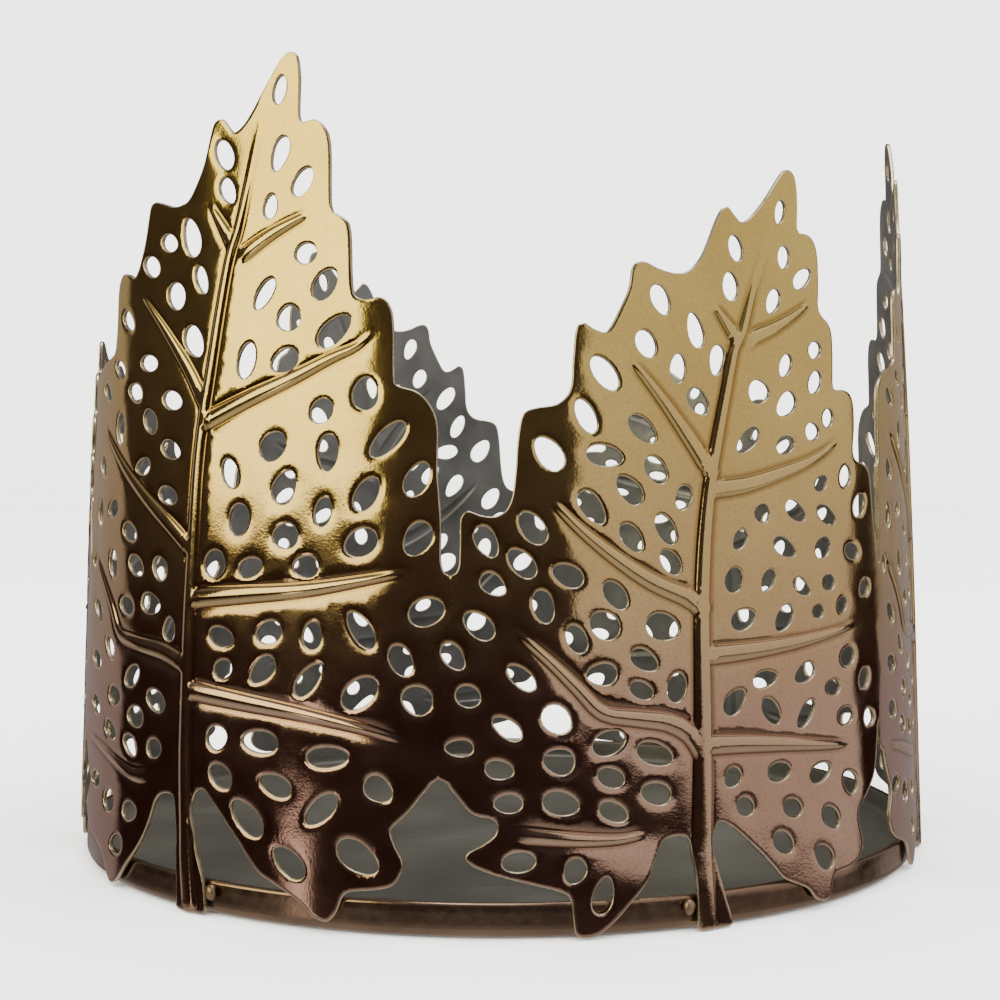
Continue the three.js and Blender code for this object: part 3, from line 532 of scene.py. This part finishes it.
def height_of(tree, coords, low, high):
    sep = tree.nodes.new("ShaderNodeSeparateXYZ")
    tree.links.new(coords, sep.inputs[0])
    rng = tree.nodes.new("ShaderNodeMapRange")
    rng.inputs["From Min"].default_value = low
    rng.inputs["From Max"].default_value = high
    tree.links.new(sep.outputs[2], rng.inputs["Value"])
    return rng.outputs[0]


def bump(tree, shader, source, strength, distance, before=None):
    node = tree.nodes.new("ShaderNodeBump")
    node.inputs["Strength"].default_value = strength
    node.inputs["Distance"].default_value = distance
    tree.links.new(source, node.inputs["Height"])
    if before is not None:
        tree.links.new(before, node.inputs["Normal"])
    tree.links.new(node.outputs[0], shader.inputs["Normal"])
    return node.outputs[0]


def leaf_outer():
    mat, tree, bsdf = nodes_of("bronze_polished")
    coords = tree.nodes.new("ShaderNodeTexCoord").outputs["Object"]
    z = height_of(tree, coords, 0.0, 0.096)
    base = ramp(tree, [(0.0, (0.58, 0.38, 0.30)), (0.24, (0.64, 0.43, 0.33)), (0.38, (0.76, 0.55, 0.28)),
                       (0.58, (0.88, 0.66, 0.24)), (1.0, (0.93, 0.70, 0.20))], z).outputs[0]
    clouds = noise(tree, coords, 55.0, 3.0).outputs[0]
    tint = ramp(tree, [(0.30, (0.86, 0.80, 0.76)), (0.70, (1.0, 1.0, 1.0))], clouds).outputs[0]
    base = mix(tree, 1.0, base, tint, "MULTIPLY")
    grit = noise(tree, coords, 3200.0, 2.0, 0.7).outputs[0]
    speck = ramp(tree, [(0.30, (0.78, 0.74, 0.70)), (0.52, (1.0, 1.0, 1.0))], grit).outputs[0]
    base = mix(tree, 0.6, base, speck, "MULTIPLY")
    # Painted shade: the colour is darkened along the sunk groove beside each raised vein.
    groove = add(tree, "ShaderNodeAttribute", attribute_name="groove").outputs["Fac"]
    groove_painted_shade = ramp(tree, [(0.0, (1, 1, 1)), (1.0, (0.42, 0.33, 0.26))], groove).outputs[0]
    base = mix(tree, 1.0, base, groove_painted_shade, "MULTIPLY")
    # Painted highlight: the colour of the raised veins is mixed towards a pale gold.
    rib = add(tree, "ShaderNodeAttribute", attribute_name="rib").outputs["Fac"]
    rib_painted_highlight = ramp(tree, [(0.0, (0, 0, 0)), (1.0, (0.22, 0.22, 0.22))], rib).outputs[0]
    base = mix(tree, rib_painted_highlight, base, (0.90, 0.72, 0.40))
    tree.links.new(base, bsdf.inputs["Base Color"])
    bsdf.inputs["Metallic"].default_value = 1.0
    rough = ramp(tree, [(0.25, grey(0.06)), (0.75, grey(0.12))], noise(tree, coords, 240.0, 5.0).outputs[0]).outputs[0]
    tree.links.new(rough, bsdf.inputs["Roughness"])
    first = bump(tree, bsdf, noise(tree, coords, 300.0, 1.0).outputs[0], 0.025, 0.0004)
    bump(tree, bsdf, grit, 0.10, 0.00007, first)
    return mat


def leaf_inner():
    mat, tree, bsdf = nodes_of("grey_dull")
    coords = tree.nodes.new("ShaderNodeTexCoord").outputs["Object"]
    clouds = noise(tree, coords, 90.0, 6.0, 0.6).outputs[0]
    base = ramp(tree, [(0.28, (0.16, 0.158, 0.152)), (0.5, (0.23, 0.228, 0.22)), (0.72, (0.32, 0.318, 0.31))],
                clouds).outputs[0]
    tree.links.new(base, bsdf.inputs["Base Color"])
    bsdf.inputs["Metallic"].default_value = 0.95
    rough = ramp(tree, [(0.3, grey(0.36)), (0.7, grey(0.52))], noise(tree, coords, 300.0).outputs[0]).outputs[0]
    tree.links.new(rough, bsdf.inputs["Roughness"])
    bump(tree, bsdf, noise(tree, coords, 900.0, 3.0).outputs[0], 0.15, 0.0002)
    return mat


def leaf_edge():
    mat, tree, bsdf = nodes_of("bronze_cut_edge")
    coords = tree.nodes.new("ShaderNodeTexCoord").outputs["Object"]
    worn = noise(tree, coords, 500.0, 3.0).outputs[0]
    base = ramp(tree, [(0.3, (0.55, 0.44, 0.29)), (0.7, (0.80, 0.68, 0.48))], worn).outputs[0]
    tree.links.new(base, bsdf.inputs["Base Color"])
    bsdf.inputs["Metallic"].default_value = 1.0
    rough = ramp(tree, [(0.3, grey(0.20)), (0.7, grey(0.34))], worn).outputs[0]
    tree.links.new(rough, bsdf.inputs["Roughness"])
    bump(tree, bsdf, noise(tree, coords, 1500.0, 2.0).outputs[0], 0.1, 0.0001)
    return mat


def pan_outer():
    mat, tree, bsdf = nodes_of("bronze_rim")
    coords = tree.nodes.new("ShaderNodeTexCoord").outputs["Object"]
    clouds = noise(tree, coords, 120.0, 5.0).outputs[0]
    base = ramp(tree, [(0.3, (0.24, 0.155, 0.11)), (0.7, (0.34, 0.23, 0.16))], clouds).outputs[0]
    tree.links.new(base, bsdf.inputs["Base Color"])
    bsdf.inputs["Metallic"].default_value = 1.0
    rough = ramp(tree, [(0.3, grey(0.14)), (0.7, grey(0.24))], noise(tree, coords, 600.0).outputs[0]).outputs[0]
    tree.links.new(rough, bsdf.inputs["Roughness"])
    bump(tree, bsdf, noise(tree, coords, 700.0, 3.0).outputs[0], 0.12, 0.0002)
    return mat


def pan_floor():
    mat, tree, bsdf = nodes_of("grey_brushed_floor")
    coords = tree.nodes.new("ShaderNodeTexCoord").outputs["Object"]
    stretch = tree.nodes.new("ShaderNodeMapping")
    stretch.inputs["Scale"].default_value = (0.12, 1.0, 1.0)
    stretch.inputs["Rotation"].default_value = (0, 0, 0.35)
    tree.links.new(coords, stretch.inputs["Vector"])
    hair = noise(tree, stretch.outputs[0], 1400.0, 4.0, 0.65).outputs[0]
    clouds = noise(tree, coords, 45.0, 4.0, 0.5).outputs[0]
    base = ramp(tree, [(0.30, (0.12, 0.115, 0.096)), (0.5, (0.165, 0.158, 0.132)), (0.70, (0.22, 0.21, 0.18))],
                clouds).outputs[0]
    lines = ramp(tree, [(0.3, (0.72, 0.72, 0.72)), (0.7, (1.0, 1.0, 1.0))], hair).outputs[0]
    base = mix(tree, 0.8, base, lines, "MULTIPLY")
    tree.links.new(base, bsdf.inputs["Base Color"])
    bsdf.inputs["Metallic"].default_value = 0.8
    rough = ramp(tree, [(0.3, grey(0.38)), (0.7, grey(0.48))], clouds).outputs[0]
    tree.links.new(rough, bsdf.inputs["Roughness"])
    bump(tree, bsdf, hair, 0.2, 0.0002)
    return mat


def weld_bronze():
    mat, tree, bsdf = nodes_of("bronze_weld")
    coords = tree.nodes.new("ShaderNodeTexCoord").outputs["Object"]
    lumps = noise(tree, coords, 900.0, 4.0).outputs[0]
    base = ramp(tree, [(0.3, (0.20, 0.13, 0.085)), (0.7, (0.42, 0.29, 0.19))], lumps).outputs[0]
    tree.links.new(base, bsdf.inputs["Base Color"])
    bsdf.inputs["Metallic"].default_value = 1.0
    rough = ramp(tree, [(0.3, grey(0.24)), (0.7, grey(0.42))], lumps).outputs[0]
    tree.links.new(rough, bsdf.inputs["Roughness"])
    bump(tree, bsdf, lumps, 0.4, 0.0003)
    return mat


M_OUT, M_IN, M_EDGE = leaf_outer(), leaf_inner(), leaf_edge()
M_RIM, M_FLOOR, M_WELD = pan_outer(), pan_floor(), weld_bronze()

# ------------------------------------------------------------- the six leaves
for row in LEAVES:
    obj = Leaf(*row).build()
    for mat in (M_OUT, M_IN, M_EDGE):
        obj.data.materials.append(mat)
    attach(obj, "root")
    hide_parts("leaf_panel_" + row[0])


# ------------------------------------------------------------------- the pan
def turned(name, profile, kinds, around):
    """Closed ring profile [radius, height] turned about the axis, mm. First and last points are on the axis."""
    verts, faces, kind = [], [], []
    rings = []
    for r, z in profile:
        if r == 0:
            rings.append([len(verts)])
            verts.append((0, 0, z * MM))
        else:
            rings.append(list(range(len(verts), len(verts) + around)))
            for i in range(around):
                t = 2 * math.pi * i / around
                verts.append((r * math.cos(t) * MM, r * math.sin(t) * MM, z * MM))
    for n, (a, b) in enumerate(zip(rings[:-1], rings[1:])):
        for i in range(around):
            j = (i + 1) % around
            if len(a) == 1:
                faces.append((a[0], b[j], b[i]))
            elif len(b) == 1:
                faces.append((a[i], a[j], b[0]))
            else:
                faces.append((a[i], a[j], b[j], b[i]))
            kind.append(kinds[n])
    mesh = bpy.data.meshes.new(name)
    mesh.from_pydata(verts, [], faces)
    mesh.polygons.foreach_set("material_index", kind)
    mesh.polygons.foreach_set("use_smooth", [True] * len(faces))
    mesh.update()
    obj = bpy.data.objects.new(name, mesh)
    bpy.context.scene.collection.objects.link(obj)
    return obj


def arc(cx, cz, r, start, end, n):
    return [(cx + r * math.cos(math.radians(start + (end - start) * i / n)),
             cz + r * math.sin(math.radians(start + (end - start) * i / n))) for i in range(n + 1)]


outside = [(0, 0), (20, 0), (40, 0), (52, 0), (53.6, 0)] + arc(PAN_R - 1.0, 1.0, 1.0, -90, 0, 6)[0:]
outside += [(PAN_R, 1.6), (PAN_R, 2.6)]
lip = arc(PAN_R - 0.45, PAN_H - 0.45, 0.45, 0, 180, 10)
inner = [(PAN_R - PAN_T, 2.6), (PAN_R - PAN_T, 2.0)] + arc(PAN_R - PAN_T - 0.7, PAN_T + 0.7, 0.7, 0, -90, 6)
inner += [(52.8, PAN_T), (48, PAN_T), (40, PAN_T), (30, PAN_T), (20, PAN_T), (10, PAN_T), (0, PAN_T)]
profile = outside + lip + inner
kinds = [0] * (len(outside) + len(lip) - 3) + [1] * (len(inner) + 2)
pan = turned("pan", profile, kinds, 240)
pan.data.materials.append(M_RIM)
pan.data.materials.append(M_FLOOR)
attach(pan, "root")
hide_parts("base_pan")

# ------------------------------------------------------- weld beads at the stems
for row in LEAVES:
    name, tall, left, right, tip = row
    span = TALL_SPAN if tall else SHORT_SPAN
    stem = left + ((-35.1 if tall else 21.7) - span[0]) * (right - left) / (span[1] - span[0])
    u = stem + 0.80 * (1 if tall else -1)
    r = PAN_R + 0.64
    t = u / ROUND_R
    centre = np.array([r * math.sin(t), -r * math.cos(t), 2.6])
    along = np.array([math.cos(t), math.sin(t), 0.0])
    out = np.array([math.sin(t), -math.cos(t), 0.0])
    verts, faces = [], []
    rows, cols = 10, 18
    seed = ord(name) * 1.3
    for i in range(rows + 1):
        el = -math.pi / 2 + math.pi * i / rows
        for k in range(cols if 0 < i < rows else 1):
            az = 2 * math.pi * k / cols
            lump = (1 - 0.05 * (1 - math.sin(3 * az + seed)) * math.cos(el)
                    - 0.05 * (1 - math.sin(2 * az - 4 * el + seed)))
            d = (along * math.cos(az) * 0.78 + out * math.sin(az) * 0.62) * math.cos(el) * lump
            d[2] += math.sin(el) * 0.90
            verts.append(tuple((centre + d) * MM))
    ring = [[0]] + [list(range(1 + (i - 1) * cols, 1 + i * cols)) for i in range(1, rows)]
    ring.append([len(verts) - 1])
    for a, b in zip(ring[:-1], ring[1:]):
        for k in range(cols):
            j = (k + 1) % cols
            if len(a) == 1:
                faces.append((a[0], b[k], b[j]))
            elif len(b) == 1:
                faces.append((a[j], a[k], b[0]))
            else:
                faces.append((a[j], a[k], b[k], b[j]))
    mesh = bpy.data.meshes.new("weld_" + name)
    mesh.from_pydata(verts, [], faces)
    mesh.polygons.foreach_set("use_smooth", [True] * len(faces))
    mesh.materials.append(M_WELD)
    mesh.update()
    bead = bpy.data.objects.new("weld_" + name, mesh)
    bpy.context.scene.collection.objects.link(bead)
    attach(bead, "root")
    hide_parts("stem_weld_" + name)

# ------------------------------------------------------------------- studio
floor_mat, tree, bsdf = nodes_of("studio_floor")
coords = tree.nodes.new("ShaderNodeTexCoord").outputs["Object"]
paper = ramp(tree, [(0.3, (0.84, 0.84, 0.83)), (0.7, (0.88, 0.88, 0.87))], noise(tree, coords, 6.0).outputs[0]).outputs[0]
tree.links.new(paper, bsdf.inputs["Base Color"])
bsdf.inputs["Roughness"].default_value = 0.9
bsdf.inputs["Specular IOR Level"].default_value = 0.1

line = [(-3.0, 0.0), (1.2, 0.0)] + [(1.2 + 0.9 * math.sin(math.radians(a)), 0.9 - 0.9 * math.cos(math.radians(a)))
                                    for a in range(6, 91, 6)] + [(2.1, 3.0)]
verts, faces = [], []
for y, z in line:
    verts += [(-4.0, y, z - 0.0002), (4.0, y, z - 0.0002)]
for i in range(len(line) - 1):
    faces.append((2 * i, 2 * i + 1, 2 * i + 3, 2 * i + 2))
mesh = bpy.data.meshes.new("studio_sweep")
mesh.from_pydata(verts, [], faces)
mesh.polygons.foreach_set("use_smooth", [True] * len(faces))
mesh.materials.append(floor_mat)
sweep = bpy.data.objects.new("studio_sweep", mesh)
bpy.context.scene.collection.objects.link(sweep)
sweep.visible_glossy = False

# A dim plain room for the reflections; a pale one for the background and the fill light.
world = bpy.data.worlds.new("studio")
bpy.context.scene.world = world
world.use_nodes = True
wt = world.node_tree
wt.nodes.clear()
coords = wt.nodes.new("ShaderNodeTexCoord").outputs["Generated"]
sep = wt.nodes.new("ShaderNodeSeparateXYZ")
wt.links.new(coords, sep.inputs[0])
level = wt.nodes.new("ShaderNodeMapRange")
level.inputs["From Min"].default_value = -1.0
level.inputs["From Max"].default_value = 1.0
wt.links.new(sep.outputs[2], level.inputs["Value"])
# From straight down to straight up: pale table, dark edge of the table, dim walls, ceiling.
room = ramp(wt, [(0.0, (0.55, 0.53, 0.50)), (0.28, (0.46, 0.44, 0.41)), (0.40, (0.025, 0.012, 0.009)),
                 (0.46, (0.025, 0.012, 0.009)), (0.49, (0.040, 0.029, 0.029)), (0.68, (0.040, 0.029, 0.029)),
                 (0.85, (0.26, 0.25, 0.24))], level.outputs[0]).outputs[0]
dim = wt.nodes.new("ShaderNodeBackground")
dim.inputs["Strength"].default_value = 1.0
wt.links.new(room, dim.inputs["Color"])
plain = wt.nodes.new("ShaderNodeBackground")
plain.inputs["Color"].default_value = (0.95, 0.95, 0.95, 1)
plain.inputs["Strength"].default_value = 4.5
path = wt.nodes.new("ShaderNodeLightPath")
blend = wt.nodes.new("ShaderNodeMixShader")
wt.links.new(path.outputs["Is Glossy Ray"], blend.inputs[0])
wt.links.new(plain.outputs[0], blend.inputs[1])
wt.links.new(dim.outputs[0], blend.inputs[2])
out = wt.nodes.new("ShaderNodeOutputWorld")
wt.links.new(blend.outputs[0], out.inputs["Surface"])


def softbox(name, side, distance, low, wide, tall, light, colour=(1, 1, 1), roll=0.0):
    """Upright softbox facing the object: degrees from the camera's side, positive to its right; metres."""
    t = math.radians(side)
    lamp = bpy.data.lights.new(name, "AREA")
    lamp.shape = "RECTANGLE"
    lamp.size, lamp.size_y = wide, tall
    lamp.energy = light * math.pi * wide * tall
    lamp.color = colour
    obj = bpy.data.objects.new(name, lamp)
    bpy.context.scene.collection.objects.link(obj)
    obj.location = (distance * math.sin(t), -distance * math.cos(t), low + tall / 2)
    facing = Vector((-math.sin(t), math.cos(t), 0)).to_track_quat("-Z", "Y")
    obj.rotation_euler = (facing @ Quaternion((0, 0, 1), math.radians(roll))).to_euler()
    obj.visible_camera = False
    return obj


softbox("softbox_left", -57.0, 0.90, 0.045, 0.78, 0.70, 2.8, (1.0, 0.94, 0.52))
softbox("softbox_right", 63.0, 0.32, -0.04, 0.56, 0.40, 0.62, (1.0, 0.94, 0.86), -8.0)
softbox("softbox_back_left", -137.0, 0.90, -0.25, 0.62, 0.85, 0.32, (1.0, 0.92, 0.92))
softbox("softbox_back_right", 137.0, 0.90, -0.25, 0.62, 0.85, 0.32, (1.0, 0.92, 0.92))
softbox("strip_low", -50.0, 0.60, -0.20, 0.06, 0.13, 1.2, (1.0, 0.88, 0.80))
top = bpy.data.lights.new("softbox_top", "AREA")
top.shape = "DISK"
top.size = 0.9
top.energy = 9.0
top_obj = bpy.data.objects.new("softbox_top", top)
bpy.context.scene.collection.objects.link(top_obj)
top_obj.location = (0.1, -0.2, 1.3)
top_obj.rotation_euler = (Vector((0, 0, 0.04)) - Vector(top_obj.location)).to_track_quat("-Z", "Y").to_euler()
top_obj.visible_camera = False

cam = bpy.data.cameras.new("camera")
cam.sensor_width = 36.0
cam.lens = 65.52
cam.shift_y = -0.0545
cam.clip_start = 0.01
cam_obj = bpy.data.objects.new("camera", cam)
bpy.context.scene.collection.objects.link(cam_obj)
cam_obj.location = (0.0, -0.250, 0.0528)
cam_obj.rotation_euler = (math.pi / 2, 0, 0)
bpy.context.scene.camera = cam_obj
